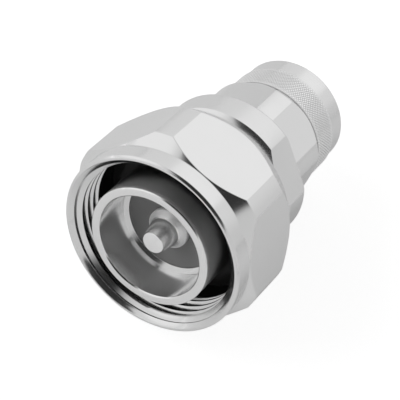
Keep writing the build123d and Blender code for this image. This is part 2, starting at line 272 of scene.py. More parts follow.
# %% Cut a thread as a climbing ridge
THREAD_DEPTH = 0.541
THREAD_HALF_BASE = 0.4375
THREAD_HALF_CREST = 0.125
THREAD_SINK = 0.03
THREAD_RUNOUT = 0.45
THREAD_LEAST_HEIGHT = 0.02


def ridge_height(climbed, turns, starts_full):
    """Share of the ridge's full height after so many turns: it fades towards its ends."""
    height = min(1, (turns - climbed) / THREAD_RUNOUT + THREAD_LEAST_HEIGHT)
    if not starts_full:
        height = min(height, climbed / THREAD_RUNOUT + THREAD_LEAST_HEIGHT)
    return height


def thread_ridge(name, root_radius, pitch, start, turns, first_turn=0, steps=128, cone_radius=None):
    """Ridge of an inside thread that climbs out of the wall and sinks into it again at its end.

    With a cone_radius, the radius of a countersink at station 0, its start is cut to that cone.
    """
    foot = root_radius + THREAD_SINK
    crest = root_radius - THREAD_DEPTH * pitch
    half_base = pitch * THREAD_HALF_BASE
    half_crest = pitch * THREAD_HALF_CREST
    section = [
        (foot, start - half_base),
        (crest, start - half_crest),
        (crest, start + half_crest),
        (foot, start + half_base),
    ]
    rings = round(steps * turns)
    piece = draw_section(name, section)
    bpy.ops.mesh.select_all(action="SELECT")
    bpy.ops.mesh.remove_doubles(threshold=WELD_DISTANCE)
    bpy.ops.mesh.edge_face_add()
    bpy.ops.object.mode_set(mode="OBJECT")
    screw = piece.modifiers.new("climb", "SCREW")
    screw.axis = "Z"
    screw.angle = math.tau * turns
    screw.screw_offset = pitch * turns
    screw.steps = screw.render_steps = rings
    screw.use_merge_vertices = False
    bpy.ops.object.modifier_apply(modifier=screw.name)
    for index, corner in enumerate(piece.data.vertices):
        climbed = index // len(section) / rings * turns
        radius = math.hypot(corner.co.x, corner.co.y)
        wanted = foot - (foot - radius) * ridge_height(climbed, turns, cone_radius is not None)
        if cone_radius is not None:
            wanted = max(wanted, cone_radius - corner.co.z)
        corner.co.x *= wanted / radius
        corner.co.y *= wanted / radius
    clear_bench()
    piece.select_set(True)
    piece.rotation_euler.z = math.radians(first_turn)
    bpy.ops.object.transform_apply(rotation=True)
    bpy.ops.object.mode_set(mode="EDIT")
    bpy.ops.mesh.select_all(action="SELECT")
    bpy.ops.mesh.normals_make_consistent(inside=False)
    bpy.ops.object.mode_set(mode="OBJECT")
    print(name, "cut:", turns, "turns of", pitch, "mm")
    return piece


# %% Cut the thread of the large nut
nut_pitch = 1.5
nut_thread_start = 0.49
nut_thread_turns = 4.9
cone_clearance = 0.02
large_thread = thread_ridge(
    "large_nut_thread", nut_thread_radius, nut_pitch, nut_thread_start, nut_thread_turns,
    first_turn=260, cone_radius=nut_mouth_radius + cone_clearance
)

# %% [markdown]
# ## The N coupling nut
# The small nut is turned from one bar too: hexagon, cone, groove, knurled band and a plain end.
# The knurl is a piece of its own here, so the blank is turned down to the bottom of the knurl.

# %% Turn and mill the N nut
n_flats = 20.5
n_first_flat = 24
n_corner_radius = 11.0
n_front = 26.95
n_front_radius = 10.3
n_front_bevel = 0.7
n_hex_end = 35.2
n_cone_end = 36.55
n_cone_radius = 10.2
n_knurl_start = 36.95
n_knurl_end = 42.2
n_knurl_root = 9.97
n_collar_radius = 9.85
n_rim = 46.1
n_rim_bevel = 0.3
n_rim_crest = 0.09
n_mouth_radius = 8.7
n_mouth_depth = 0.76
n_thread_radius = 7.94
n_wall_rear = 31.8
n_relief_radius = 8.25
n_relief_length = 1.2
n_bore_radius = 7.25
n_groove_radius = 8.1
n_groove_front = 27.8
n_groove_rear = 28.8

n_corners = [
    (n_front_radius, n_front),
    (n_corner_radius, n_front + n_front_bevel),
    (n_corner_radius, n_hex_end),
    (n_cone_radius, n_cone_end),
    (n_collar_radius, n_cone_end),
    (n_collar_radius, n_knurl_start),
    (n_knurl_root, n_knurl_start),
    (n_knurl_root, n_knurl_end),
    (n_collar_radius, n_knurl_end),
    (n_collar_radius, n_rim - n_rim_bevel),
    (n_collar_radius - n_rim_crest, n_rim - n_rim_crest),
    (n_collar_radius - n_rim_bevel, n_rim),
    (n_mouth_radius, n_rim),
    (n_thread_radius, n_rim - n_mouth_depth),
    (n_thread_radius, n_wall_rear + n_relief_length),
    (n_relief_radius, n_wall_rear + n_relief_length),
    (n_relief_radius, n_wall_rear),
    (n_bore_radius, n_wall_rear),
    *groove(n_bore_radius, n_groove_radius, n_groove_rear, n_groove_front),
    (n_bore_radius, n_front),
]
n_nut = turn_piece("n_nut", n_corners)
mill_flats(n_nut, n_flats / 2, count=6, first_turn=n_first_flat)
break_edges(n_nut, width=0.06)

# %% [markdown]
# The N thread has 24 turns in an inch. It starts 2 mm behind the wall at the bottom of the nut.

# %% Cut the N thread
n_pitch = 25.4 / 24
n_thread_start = n_wall_rear + 2
n_thread_turns = 10.8
n_thread = thread_ridge(
    "n_nut_thread", n_thread_radius, n_pitch, n_thread_start, n_thread_turns, steps=96
)

# %% [markdown]
# A diamond knurl is two sets of fine grooves that cross. Poke makes it quickly: poking a square
# grid and dissolving the grid's own lines leaves faces that stand on their corners. This knurl is
# fine and shallow, with most of the bar's own skin left between its grooves, so each of those faces
# is inset and raised a little, which gives it a flat top and leaves the grooves around it.

# %% Find the lines of the square grid
KNURL_ROUND = 116
KNURL_ROWS = 9
KNURL_GROOVE = 0.08
ROW_TOLERANCE = 0.1
LEVEL_TOLERANCE = 0.01


def grid_corner(vertex, low, step):
    """True for a corner of the first square grid, false for the middle of a square."""
    row = (vertex.co.z - low) / step
    return abs(row - round(row)) < ROW_TOLERANCE


def grid_line(piece, edge, low, high, step):
    """True for a line of the square grid, all but the rings at the two ends of the band."""
    ends = [piece.data.vertices[index] for index in edge.vertices]
    on_grid = all(grid_corner(end, low, step) for end in ends)
    within = all(low + LEVEL_TOLERANCE < end.co.z < high - LEVEL_TOLERANCE for end in ends)
    upright = abs(ends[0].co.z - ends[1].co.z) > LEVEL_TOLERANCE
    return on_grid and (within or upright)


def select_ring(piece, station):
    """Select the open border of a piece at one station."""
    bpy.ops.object.mode_set(mode="EDIT")
    bpy.ops.mesh.select_mode(type="EDGE")
    bpy.ops.mesh.select_all(action="DESELECT")
    bpy.ops.object.mode_set(mode="OBJECT")
    for edge in piece.data.edges:
        heights = [piece.data.vertices[end].co.z for end in edge.vertices]
        edge.select = all(abs(height - station) < WELD_DISTANCE for height in heights)
    bpy.ops.object.mode_set(mode="EDIT")


# %% [markdown]
# The band starts as one ring of edges, which is extruded row by row. Once its diamonds stand, both
# open borders are drawn inwards and joined by a bridge, so that the band is a closed ring with a
# plain bore.

# %% Roll the knurl
def rolled_knurl(name, root, low, high, height, inner):
    """Ring with flat-topped diamonds outside and a plain bore inside."""
    clear_bench()
    step = (high - low) / KNURL_ROWS
    bpy.ops.mesh.primitive_circle_add(vertices=KNURL_ROUND, radius=root, location=(0, 0, low))
    piece = bpy.context.object
    piece.name = name
    bpy.ops.object.transform_apply(location=True)
    bpy.ops.object.mode_set(mode="EDIT")
    bpy.ops.mesh.select_mode(type="EDGE")
    bpy.ops.mesh.select_all(action="SELECT")
    for _ in range(KNURL_ROWS):
        bpy.ops.mesh.extrude_region_move(TRANSFORM_OT_translate={"value": (0, 0, step)})
    bpy.ops.mesh.select_all(action="SELECT")
    bpy.ops.mesh.normals_make_consistent(inside=False)
    bpy.ops.mesh.poke()
    bpy.ops.object.mode_set(mode="OBJECT")
    for vertex in piece.data.vertices:
        vertex.select = False
    for edge in piece.data.edges:
        edge.select = grid_line(piece, edge, low, high, step)
    for face in piece.data.polygons:
        face.select = False
    bpy.ops.object.mode_set(mode="EDIT")
    bpy.ops.mesh.dissolve_edges(use_verts=False)
    bpy.ops.mesh.select_mode(type="FACE")
    bpy.ops.mesh.select_all(action="DESELECT")
    bpy.ops.mesh.select_face_by_sides(number=4)
    bpy.ops.mesh.inset(thickness=KNURL_GROOVE, depth=height, use_individual=True)
    for station in (low, high):
        select_ring(piece, station)
        bpy.ops.mesh.extrude_edges_move()
        bpy.ops.transform.resize(value=(inner / root, inner / root, 1), center_override=(0, 0, station))
    bpy.ops.mesh.select_all(action="DESELECT")
    bpy.ops.mesh.select_non_manifold()
    bpy.ops.mesh.bridge_edge_loops()
    bpy.ops.mesh.select_all(action="SELECT")
    bpy.ops.mesh.normals_make_consistent(inside=False)
    bpy.ops.object.mode_set(mode="OBJECT")
    print(name, "rolled:", len(piece.data.polygons), "faces")
    return piece


n_knurl_radius = 10.12
n_knurl_height = 0.05
n_knurl_bore = 9.9
n_knurl = rolled_knurl(
    "n_nut_knurl", n_knurl_radius, n_knurl_start, n_knurl_end, n_knurl_height, n_knurl_bore
)

# %% [markdown]
# ## The body, the tube and the pins
# These are plain turned pieces. They are turned again for two reasons: their edges get the small
# breaks that catch the light, and a spun mesh shades more evenly than one made of loose triangles.
# The flange is bevelled in front, which draws a dark line beside the nut, and rounded behind, so its
# section ends in a short arc, worked out by a formula.

# %% Turn the body and mill its wrench flats
def arc(centre_radius, centre_station, size, first, last, steps=5):
    """Corners along an arc of a section, between two angles in degrees from the radial direction."""
    angles = [math.radians(first + (last - first) * step / steps) for step in range(steps + 1)]
    return [(centre_radius + size * math.cos(a), centre_station + size * math.sin(a)) for a in angles]


neck_radius = 12.0
body_front = 10.6
ring_groove_radius = 11.0
ring_groove_front = 13.15
ring_groove_rear = 14.49
seal_groove_radius = 10.9
seal_groove_front = 15.24
seal_groove_rear = 16.69
flange_radius = 13.4
flange_front = 20.2
flange_rear = 26.15
front_bevel = 0.75
rear_round = 0.5
wrench_flats = 24.8
first_wrench_flat = 39.7
rear_bore_radius = 7.02
rear_bore_front = 20.3
middle_bore_radius = 8.0
tube_seat_radius = 9.62
tube_seat_rear = 16.5

body_corners = [
    (neck_radius, body_front),
    *groove(neck_radius, ring_groove_radius, ring_groove_front, ring_groove_rear),
    *groove(neck_radius, seal_groove_radius, seal_groove_front, seal_groove_rear),
    (neck_radius, flange_front),
    (flange_radius - front_bevel, flange_front),
    (flange_radius, flange_front + front_bevel),
    *arc(flange_radius - rear_round, flange_rear - rear_round, rear_round, 0, 90),
    (rear_bore_radius, flange_rear),
    (rear_bore_radius, rear_bore_front),
    (middle_bore_radius, rear_bore_front),
    (middle_bore_radius, tube_seat_rear),
    (tube_seat_radius, tube_seat_rear),
    (tube_seat_radius, body_front),
]
body = turn_piece("body", body_corners)
mill_flats(body, wrench_flats / 2, count=2, first_turn=first_wrench_flat)
break_edges(body, width=0.06)

# %% [markdown]
# The tube is a thin wall with a small bevel on both sides of its rim. Behind its wide mouth a ledge
# stands inwards, and the rear end of the tube sits in the body. The pin is solid: its section starts
# and ends on the axis and stays open there.

# %% Turn the tube
tube_radius = 10.575
tube_front = -0.4
tube_bevel = 0.2
tube_mouth_radius = 9.1
tube_undercut_radius = 10.325
tube_undercut_front = 9.2
tube_foot_radius = 9.6
tube_rear_bore_radius = 8.6
ledge_radius = 8.0
ledge_front = 6.55
ledge_rear = 9.0

tube_corners = [
    (tube_mouth_radius + tube_bevel, tube_front),
    (tube_radius - tube_bevel, tube_front),
    (tube_radius, tube_front + tube_bevel),
    (tube_radius, tube_undercut_front),
    (tube_undercut_radius, tube_undercut_front),
    (tube_undercut_radius, body_front),
    (tube_foot_radius, body_front),
    (tube_foot_radius, tube_seat_rear),
    (tube_rear_bore_radius, tube_seat_rear),
    (tube_rear_bore_radius, ledge_rear),
    (ledge_radius, ledge_rear),
    (ledge_radius, ledge_front),
    (tube_mouth_radius, ledge_front),
    (tube_mouth_radius, tube_front + tube_bevel),
]
tube = turn_piece("tube", tube_corners)
break_edges(tube, width=0.05)

# %% Turn the large pin
pin_front = 1.04
pin_tip_radius = 1.815
pin_cone_radius = 2.54
pin_cone_rear = 4.0
pin_bevel_front = 4.33
pin_bevel_rear = 5.43
pin_radius = 3.5
pin_rear = 6.8
pin_stud_radius = 1.6
pin_stud_rear = 12.3

pin_corners = [
    (0, pin_front),
    (pin_tip_radius, pin_front),
    (pin_cone_radius, pin_cone_rear),
    (pin_cone_radius, pin_bevel_front),
    (pin_radius, pin_bevel_rear),
    (pin_radius, pin_rear),
    (pin_stud_radius, pin_rear),
    (pin_stud_radius, pin_stud_rear),
    (0, pin_stud_rear),
]
pin = turn_piece("pin", pin_corners, closed=False)
break_edges(pin, width=0.05)

# %% [markdown]
# The sleeve of the N end is a spring: four slots let its fingers close a little on the mating
# sleeve. The slots are sawn, so two crossed bars, wide as the saw, are taken away from the tube.

# %% Saw slots
SAW_REACH = 12
SAW_SPARE = 1


def saw_bar(name, across, width, start, end):
    """A bar across the axis, as wide as a saw cut."""
    clear_bench()
    bpy.ops.mesh.primitive_cube_add(size=1, location=(0, 0, (start + end) / 2))
    bar = bpy.context.object
    bar.name = name
    bar.scale = (across, width, end - start)
    bpy.ops.object.transform_apply(location=True, rotation=True, scale=True)
    return bar


def saw_slots(piece, width, start, end, count=2):
    """Saw slots through both walls, evenly round the axis."""
    for number in range(count):
        bar = saw_bar("saw", SAW_REACH, width, start, end)
        bar.rotation_euler.z = math.pi * number / count
        cut = piece.modifiers.new("slot", "BOOLEAN")
        cut.object = bar
        cut.operation = "DIFFERENCE"
        cut.solver = "EXACT"
        clear_bench()
        piece.select_set(True)
        bpy.context.view_layer.objects.active = piece
        bpy.ops.object.modifier_apply(modifier=cut.name)
        bpy.data.objects.remove(bar)
    print(piece.name, "sawn:", 2 * count, "slots")


# %% Turn the N sleeve and saw it
sleeve_front = 31.3
sleeve_bore_radius = 3.5
sleeve_foot_radius = 4.6
sleeve_foot_rear = 34.3
sleeve_neck_radius = 3.9
sleeve_neck_rear = 35.5
sleeve_radius = 4.1
sleeve_rear = 44.6
sleeve_bevel = 0.15
slot_width = 0.6
slot_length = 4.4

sleeve_corners = [
    (sleeve_bore_radius, sleeve_front),
    (sleeve_foot_radius, sleeve_front),
    (sleeve_foot_radius, sleeve_foot_rear),
    (sleeve_neck_radius, sleeve_foot_rear),
    (sleeve_neck_radius, sleeve_neck_rear),
    (sleeve_radius, sleeve_neck_rear),
    (sleeve_radius, sleeve_rear - sleeve_bevel),
    (sleeve_radius - sleeve_bevel, sleeve_rear),
    (sleeve_bore_radius + sleeve_bevel, sleeve_rear),
    (sleeve_bore_radius, sleeve_rear - sleeve_bevel),
]
sleeve = turn_piece("sleeve", sleeve_corners, steps=96)
saw_slots(sleeve, slot_width, sleeve_rear - slot_length, sleeve_rear + SAW_SPARE)

# %% Turn the N pin
n_pin_front = 25.8
n_pin_stud_radius = 0.9
n_pin_stud_rear = 28.8
n_pin_bead_radius = 1.28
n_pin_radius = 1.52
n_pin_shoulder = 39.0
n_pin_tip_front = 39.5
n_pin_tip_radius = 0.82
n_pin_tip_bevel = 0.2
n_pin_rear = 43.4

n_pin_corners = [
    (0, n_pin_front),
    (n_pin_stud_radius, n_pin_front),
    (n_pin_stud_radius, n_pin_stud_rear),
    (n_pin_bead_radius, n_pin_stud_rear),
    (n_pin_bead_radius, sleeve_front),
    (n_pin_radius, sleeve_front),
    (n_pin_radius, n_pin_shoulder),
    (n_pin_tip_radius, n_pin_tip_front),
    (n_pin_tip_radius, n_pin_rear - n_pin_tip_bevel),
    (n_pin_tip_radius - n_pin_tip_bevel, n_pin_rear),
    (0, n_pin_rear),
]
n_pin = turn_piece("n_pin", n_pin_corners, closed=False, steps=64)
break_edges(n_pin, width=0.03)

# %% [markdown]
# All pieces are finished on the bench, so they can be laid down. Each names the body that carries it
# and the metal it is made of. Seven of them take the place of their plain solids. The threads and the
# knurl have no solid of their own.

# %% Lay the pieces down on the frame
for piece, carrier, plate in (
    (large_nut, "large_nut", "plated_brass"),
    (large_thread, "large_nut", "plated_brass"),
    (n_nut, "n_nut", "plated_brass"),
    (n_thread, "n_nut", "plated_brass"),
    (n_knurl, "n_nut", "plated_brass"),
    (body, "body", "plated_brass"),
    (tube, "body", "plated_brass"),
    (pin, "body", "silver_plate"),
    (sleeve, "body", "silver_plate"),
    (n_pin, "body", "silver_plate"),
):
    if "flats" in piece:
        mark_flats(piece)
    lay_down(piece, carrier)
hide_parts("large_coupling_nut")
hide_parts("n_coupling_nut")
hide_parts("main_body")
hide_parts("large_outer_contact")
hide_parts("large_centre_pin")
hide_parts("n_outer_contact")
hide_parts("n_centre_pin")

# %% [markdown]
# ## Finishes
# Plate, rubber and plastic all get their detail from a few shared effects, each a node group that is
# built once. The first one gives every finish the adapter's own axis: how far a point lies from it,
# and at which station. Lathe marks run round that axis, whatever way the adapter lies.

# %% Place nodes and groups
def add_node(tree, kind, **settings):
    """A node with its settings, or the values of its unlinked inputs, by name."""
    node = tree.nodes.new(kind)
    for name, value in settings.items():
        socket = name.replace("_", " ").title()
        if socket in node.inputs:
            node.inputs[socket].default_value = value
        else:
            setattr(node, name, value)
    return node


def new_group(name, inputs, outputs):
    """An empty node group with its sockets, its group input and its group output."""
    group = bpy.data.node_groups.new(name, "ShaderNodeTree")
    for socket, value in inputs.items():
        made = group.interface.new_socket(name=socket, in_out="INPUT", socket_type="NodeSocketFloat")
        made.default_value = value
    for socket, kind in outputs.items():
        group.interface.new_socket(name=socket, in_out="OUTPUT", socket_type=kind)
    return group, group.nodes.new("NodeGroupInput"), group.nodes.new("NodeGroupOutput")


def place_group(tree, group, **values):
    """The group as a node of a material, with its own values."""
    node = tree.nodes.new("ShaderNodeGroup")
    node.node_tree = group
    for name, value in values.items():
        node.inputs[name.replace("_", " ").capitalize()].default_value = value
    return node


# %% Find the own-axis coordinates
axis_values = {"Place": "NodeSocketVector", "Radius": "NodeSocketFloat", "Station": "NodeSocketFloat"}
axis_group, _, outlet = new_group("own_axis", {}, axis_values)
coordinates = add_node(axis_group, "ShaderNodeTexCoord")
mapping = add_node(axis_group, "ShaderNodeMapping", vector_type="TEXTURE")
mapping.inputs["Location"].default_value = rim_centre
mapping.inputs["Rotation"].default_value = laid_down.to_euler()
mapping.inputs["Scale"].default_value = (MM, MM, MM)
parts = add_node(axis_group, "ShaderNodeSeparateXYZ")
flat = add_node(axis_group, "ShaderNodeCombineXYZ")
length = add_node(axis_group, "ShaderNodeVectorMath", operation="LENGTH")
axis_group.links.new(coordinates.outputs["Object"], mapping.inputs["Vector"])
axis_group.links.new(mapping.outputs["Vector"], parts.inputs["Vector"])
axis_group.links.new(parts.outputs["X"], flat.inputs["X"])
axis_group.links.new(parts.outputs["Y"], flat.inputs["Y"])
axis_group.links.new(flat.outputs["Vector"], length.inputs[0])
axis_group.links.new(mapping.outputs["Vector"], outlet.inputs["Place"])
axis_group.links.new(length.outputs["Value"], outlet.inputs["Radius"])
axis_group.links.new(parts.outputs["Z"], outlet.inputs["Station"])
print("shared effect:", axis_group.name)

# %% [markdown]
# A turned surface carries the feed marks of the tool: very fine rings. One-dimensional noise along
# radius plus station makes rings on cylinders, cones and faces alike. The second effect is the
# slight cloudiness of plating from a barrel, and small rubs from handling.

# %% Lathe marks and cloudy plating
marks_group, inlet, outlet = new_group("lathe_marks", {"Rings per mm": 9.0}, {"Height": "NodeSocketFloat"})
axis = place_group(marks_group, axis_group)
run = add_node(marks_group, "ShaderNodeMath", operation="ADD")
feed = add_node(marks_group, "ShaderNodeMath", operation="MULTIPLY")
rings = add_node(marks_group, "ShaderNodeTexNoise", noise_dimensions="1D", detail=3.0,
                 roughness=0.6, scale=1.0)
marks_group.links.new(axis.outputs["Radius"], run.inputs[0])
marks_group.links.new(axis.outputs["Station"], run.inputs[1])
marks_group.links.new(run.outputs["Value"], feed.inputs[0])
marks_group.links.new(inlet.outputs["Rings per mm"], feed.inputs[1])
marks_group.links.new(feed.outputs["Value"], rings.inputs["W"])
marks_group.links.new(rings.outputs["Fac"], outlet.inputs["Height"])

cloud_values = {"Cloud": "NodeSocketFloat", "Rubs": "NodeSocketFloat"}
cloud_group, inlet, outlet = new_group("cloudy_plating", {"Size mm": 6.0}, cloud_values)
axis = place_group(cloud_group, axis_group)
smaller = add_node(cloud_group, "ShaderNodeMath", operation="DIVIDE")
smaller.inputs[0].default_value = 1.0
cloud = add_node(cloud_group, "ShaderNodeTexNoise", detail=4.0, roughness=0.55)
rubs = add_node(cloud_group, "ShaderNodeTexNoise", detail=6.0, roughness=0.7, scale=3.2, distortion=1.5)
narrow = add_node(cloud_group, "ShaderNodeMapRange", from_min=0.6, from_max=0.8)
cloud_group.links.new(inlet.outputs["Size mm"], smaller.inputs[1])
cloud_group.links.new(smaller.outputs["Value"], cloud.inputs["Scale"])
cloud_group.links.new(axis.outputs["Place"], cloud.inputs["Vector"])
cloud_group.links.new(axis.outputs["Place"], rubs.inputs["Vector"])
cloud_group.links.new(rubs.outputs["Fac"], narrow.inputs["Value"])
cloud_group.links.new(cloud.outputs["Fac"], outlet.inputs["Cloud"])
cloud_group.links.new(narrow.outputs["Result"], outlet.inputs["Rubs"])
print("shared effects:", marks_group.name, cloud_group.name)

# %% [markdown]
# The plate is a satin white bronze over brass: nearly white and not quite a mirror. The cloud shifts
# its colour and gloss by a few percent, which the eye reads as metal and not as paint. Thousands of
# grooves round the axis blur a turned surface across them and hardly along them. That is what
# Anisotropic does. Its Tangent runs round the axis, and a quarter turn of it puts the blur across.

# %% Find the direction round the axis
def turned_round(tree):
    """The direction that runs round the adapter's axis, for the Tangent of a turned surface."""
    coordinates = add_node(tree, "ShaderNodeTexCoord")
    from_axis = add_node(tree, "ShaderNodeVectorMath", operation="SUBTRACT")
    from_axis.inputs[1].default_value = rim_centre
    around = add_node(tree, "ShaderNodeVectorMath", operation="CROSS_PRODUCT")
    around.inputs[1].default_value = along
    carried = add_node(tree, "ShaderNodeVectorTransform", vector_type="VECTOR",
                       convert_from="OBJECT", convert_to="WORLD")
    tree.links.new(coordinates.outputs["Object"], from_axis.inputs[0])
    tree.links.new(from_axis.outputs["Vector"], around.inputs[0])
    tree.links.new(around.outputs["Vector"], carried.inputs["Vector"])
    return carried.outputs["Vector"]


# %% [markdown]
# Each plate has a tone and a roughness for its bright places and for its dull ones, and the clouds
# lead from one to the other. The rubs add a little roughness.

# %% Mix the plated finishes
FEED_DEPTH = 1e-6
RUBBED_ROUGHNESS = 0.02
QUARTER_TURN = 0.25


def grey(tone):
    """A neutral colour."""
    return (tone, tone, tone)


def plated(name, bright_colour, dull_colour, bright_roughness, dull_roughness, mark_depth, across):
    """Metal that drifts between bright and dull; lathe marks in metres, blur across them 0 to 1."""
    material = bpy.data.materials.new(name)
    material.use_nodes = True
    tree = material.node_tree
    shader = tree.nodes["Principled BSDF"]
    shader.inputs["Metallic"].default_value = 1
    clouds = place_group(tree, cloud_group)
    marks = place_group(tree, marks_group)
    tint = add_node(tree, "ShaderNodeMix", data_type="RGBA")
    tint.inputs["A"].default_value = (*bright_colour, 1)
    tint.inputs["B"].default_value = (*dull_colour, 1)
    shine = add_node(tree, "ShaderNodeMapRange", from_min=0.3, from_max=0.7,
                     to_min=bright_roughness, to_max=dull_roughness)
    rubbed = add_node(tree, "ShaderNodeMath", operation="MULTIPLY_ADD")
    rubbed.inputs[1].default_value = RUBBED_ROUGHNESS
    bump = add_node(tree, "ShaderNodeBump", strength=1.0, distance=mark_depth)
    tree.links.new(clouds.outputs["Cloud"], tint.inputs["Factor"])
    tree.links.new(tint.outputs["Result"], shader.inputs["Base Color"])
    tree.links.new(clouds.outputs["Cloud"], shine.inputs["Value"])
    tree.links.new(clouds.outputs["Rubs"], rubbed.inputs[0])
    tree.links.new(shine.outputs["Result"], rubbed.inputs[2])
    tree.links.new(rubbed.outputs["Value"], shader.inputs["Roughness"])
    tree.links.new(marks.outputs["Height"], bump.inputs["Height"])
    tree.links.new(bump.outputs["Normal"], shader.inputs["Normal"])
    if across:
        shader.inputs["Anisotropic"].default_value = across
        shader.inputs["Anisotropic Rotation"].default_value = QUARTER_TURN
        tree.links.new(turned_round(tree), shader.inputs["Tangent"])
    return material


# %% Mix a plate for each kind of piece
nut_plate = plated("nut_plate", grey(0.82), grey(0.79), 0.14, 0.18, FEED_DEPTH, across=0.6)
milled_plate = plated("milled_plate", grey(0.82), grey(0.79), 0.11, 0.15, 0, across=0)
body_plate = plated("body_plate", grey(0.82), grey(0.79), 0.19, 0.25, FEED_DEPTH, across=0.6)
tube_plate = plated("tube_plate", grey(0.88), grey(0.85), 0.14, 0.18, FEED_DEPTH, across=0.9)
contact_silver = plated("contact_silver", grey(0.94), grey(0.91), 0.16, 0.20, FEED_DEPTH, across=0.8)
ring_bronze = plated("ring_bronze", (0.62, 0.47, 0.30), (0.50, 0.37, 0.24), 0.30, 0.42, 3e-7, across=0)
print("plated finishes:", nut_plate.name, milled_plate.name, body_plate.name, tube_plate.name,
      contact_silver.name, ring_bronze.name)

# %% [markdown]
# The insulator is a smooth grey moulding, and the seals are black rubber. Neither is a mirror, so a
# fine noise in height and a small change of colour is all that they need.

# %% Mix the soft finishes
CLOUD_SIZE = 4.0
ROUGHNESS_DRIFT = 0.06


def moulded(name, colour, change, roughness, grain_size, grain_depth):
    """Plastic or rubber with a faint grain; sizes in millimetres, depth in metres."""
    material = bpy.data.materials.new(name)
    material.use_nodes = True
    tree = material.node_tree
    shader = tree.nodes["Principled BSDF"]
    clouds = place_group(tree, cloud_group, size_mm=CLOUD_SIZE)
    tint = add_node(tree, "ShaderNodeMix", data_type="RGBA")
    tint.inputs["A"].default_value = (*colour, 1)
    tint.inputs["B"].default_value = (*[value * change for value in colour], 1)
    axis = place_group(tree, axis_group)
    grain = add_node(tree, "ShaderNodeTexNoise", detail=3.0, scale=1 / grain_size)
    shine = add_node(tree, "ShaderNodeMapRange", to_min=roughness - ROUGHNESS_DRIFT,
                     to_max=roughness + ROUGHNESS_DRIFT)
    bump = add_node(tree, "ShaderNodeBump", strength=0.6, distance=grain_depth)
    tree.links.new(clouds.outputs["Cloud"], tint.inputs["Factor"])
    tree.links.new(tint.outputs["Result"], shader.inputs["Base Color"])
    tree.links.new(axis.outputs["Place"], grain.inputs["Vector"])
    tree.links.new(grain.outputs["Fac"], shine.inputs["Value"])
    tree.links.new(shine.outputs["Result"], shader.inputs["Roughness"])
    tree.links.new(grain.outputs["Fac"], bump.inputs["Height"])
    tree.links.new(bump.outputs["Normal"], shader.inputs["Normal"])
    return material


grey_moulding = moulded("grey_moulding", grey(0.26), 0.94, 0.42, grain_size=0.25, grain_depth=4e-6)
black_rubber = moulded("black_rubber", grey(0.018), 0.7, 0.5, grain_size=0.15, grain_depth=6e-6)
print("soft finishes:", grey_moulding.name, black_rubber.name)

# %% [markdown]
# Some walls of a piece get a tone of their own. Behind its thread the deep mouth of the large nut is
# painted nearly black as painted shade, and made rougher; the outside of the tube is painted darker as
# shade too. The knurl's tops get a lighter plate and its grooves are painted darker as shade, and the
# shoulder of the large pin is satin, painted lighter as a painted highlight. Each takes its plate,
# mixed with a tone of its own where the station and the radius say so.

# %% Give single walls a tone of their own
STATION_EDGE = 0.4


def range_mask(tree, value, low, high, edge):
    """1 while a value lies between two limits, with soft edges."""
    rise = add_node(tree, "ShaderNodeMapRange", from_min=low - edge, from_max=low + edge)
    fall = add_node(tree, "ShaderNodeMapRange", from_min=high + edge, from_max=high - edge)
    both = add_node(tree, "ShaderNodeMath", operation="MULTIPLY")
    tree.links.new(value, rise.inputs["Value"])
    tree.links.new(value, fall.inputs["Value"])
    tree.links.new(rise.outputs["Result"], both.inputs[0])
    tree.links.new(fall.outputs["Result"], both.inputs[1])
    return both.outputs["Value"]


def put_before(tree, socket, mask, value, data_type):
    """Mix a colour or a number into whatever feeds a socket, by a mask."""
    mix = add_node(tree, "ShaderNodeMix", data_type=data_type)
    mix.inputs["B"].default_value = value
    tree.links.new(mask, mix.inputs["Factor"])
    tree.links.new(socket.links[0].from_socket, mix.inputs["A"])
    tree.links.new(mix.outputs["Result"], socket)


def tone_wall(material, name, stations, radii, tone, roughness, radius_edge=0.05):
    """A copy of a plated finish with another tone between two stations and two radii."""
    copy = material.copy()
    copy.name = name
    tree = copy.node_tree
    axis = place_group(tree, axis_group)
    at_station = range_mask(tree, axis.outputs["Station"], *stations, STATION_EDGE)
    at_radius = range_mask(tree, axis.outputs["Radius"], *radii, radius_edge)
    wall = add_node(tree, "ShaderNodeMath", operation="MULTIPLY")
    tree.links.new(at_station, wall.inputs[0])
    tree.links.new(at_radius, wall.inputs[1])
    shader = tree.nodes["Principled BSDF"]
    put_before(tree, shader.inputs["Base Color"], wall.outputs["Value"], (*grey(tone), 1), "RGBA")
    put_before(tree, shader.inputs["Roughness"], wall.outputs["Value"], roughness, "FLOAT")
    print(name, "toned from station", stations[0], "to", stations[1])
    return copy


# %% Tone the mouth, the tube, the knurl and the pin
# Painted shade: behind its thread the large nut's deep mouth is painted nearly black, and made rougher.
mouth_painted_shade = tone_wall(
    nut_plate, "mouth_painted_shade", stations=(7.6, 13.0), radii=(12.0, 14.95), tone=0.08, roughness=0.45
)
# Painted shade: the outside of the tube, inside the nut's mouth, is painted darker.
tube_painted_shade = tone_wall(
    tube_plate, "tube_painted_shade", stations=(0.2, 12.0), radii=(10.3, 11.0), tone=0.55, roughness=0.22
)
# The knurl's tops get a lighter plate, and painted shade darkens its grooves.
knurl_tops = plated("knurl_tops", grey(0.93), grey(0.90), 0.16, 0.20, FEED_DEPTH, across=0)
knurl_groove_painted_shade = tone_wall(
    knurl_tops, "knurl_groove_painted_shade", stations=(37.3, 41.8), radii=(9.8, 10.14), tone=0.56, roughness=0.3,
    radius_edge=0.01
)
# The pin's shoulder is satin, and painted lighter as a painted highlight.
pin_satin_painted_highlight = tone_wall(
    contact_silver, "pin_satin_painted_highlight", stations=(4.7, 6.0), radii=(2.65, 3.7), tone=0.99, roughness=0.5
)

# %% [markdown]
# Every piece gets its finish by name, and so do the solids that are shown as they are. A piece with
# milled flats has a second slot, because a milled face carries no lathe marks and is a little glossier.

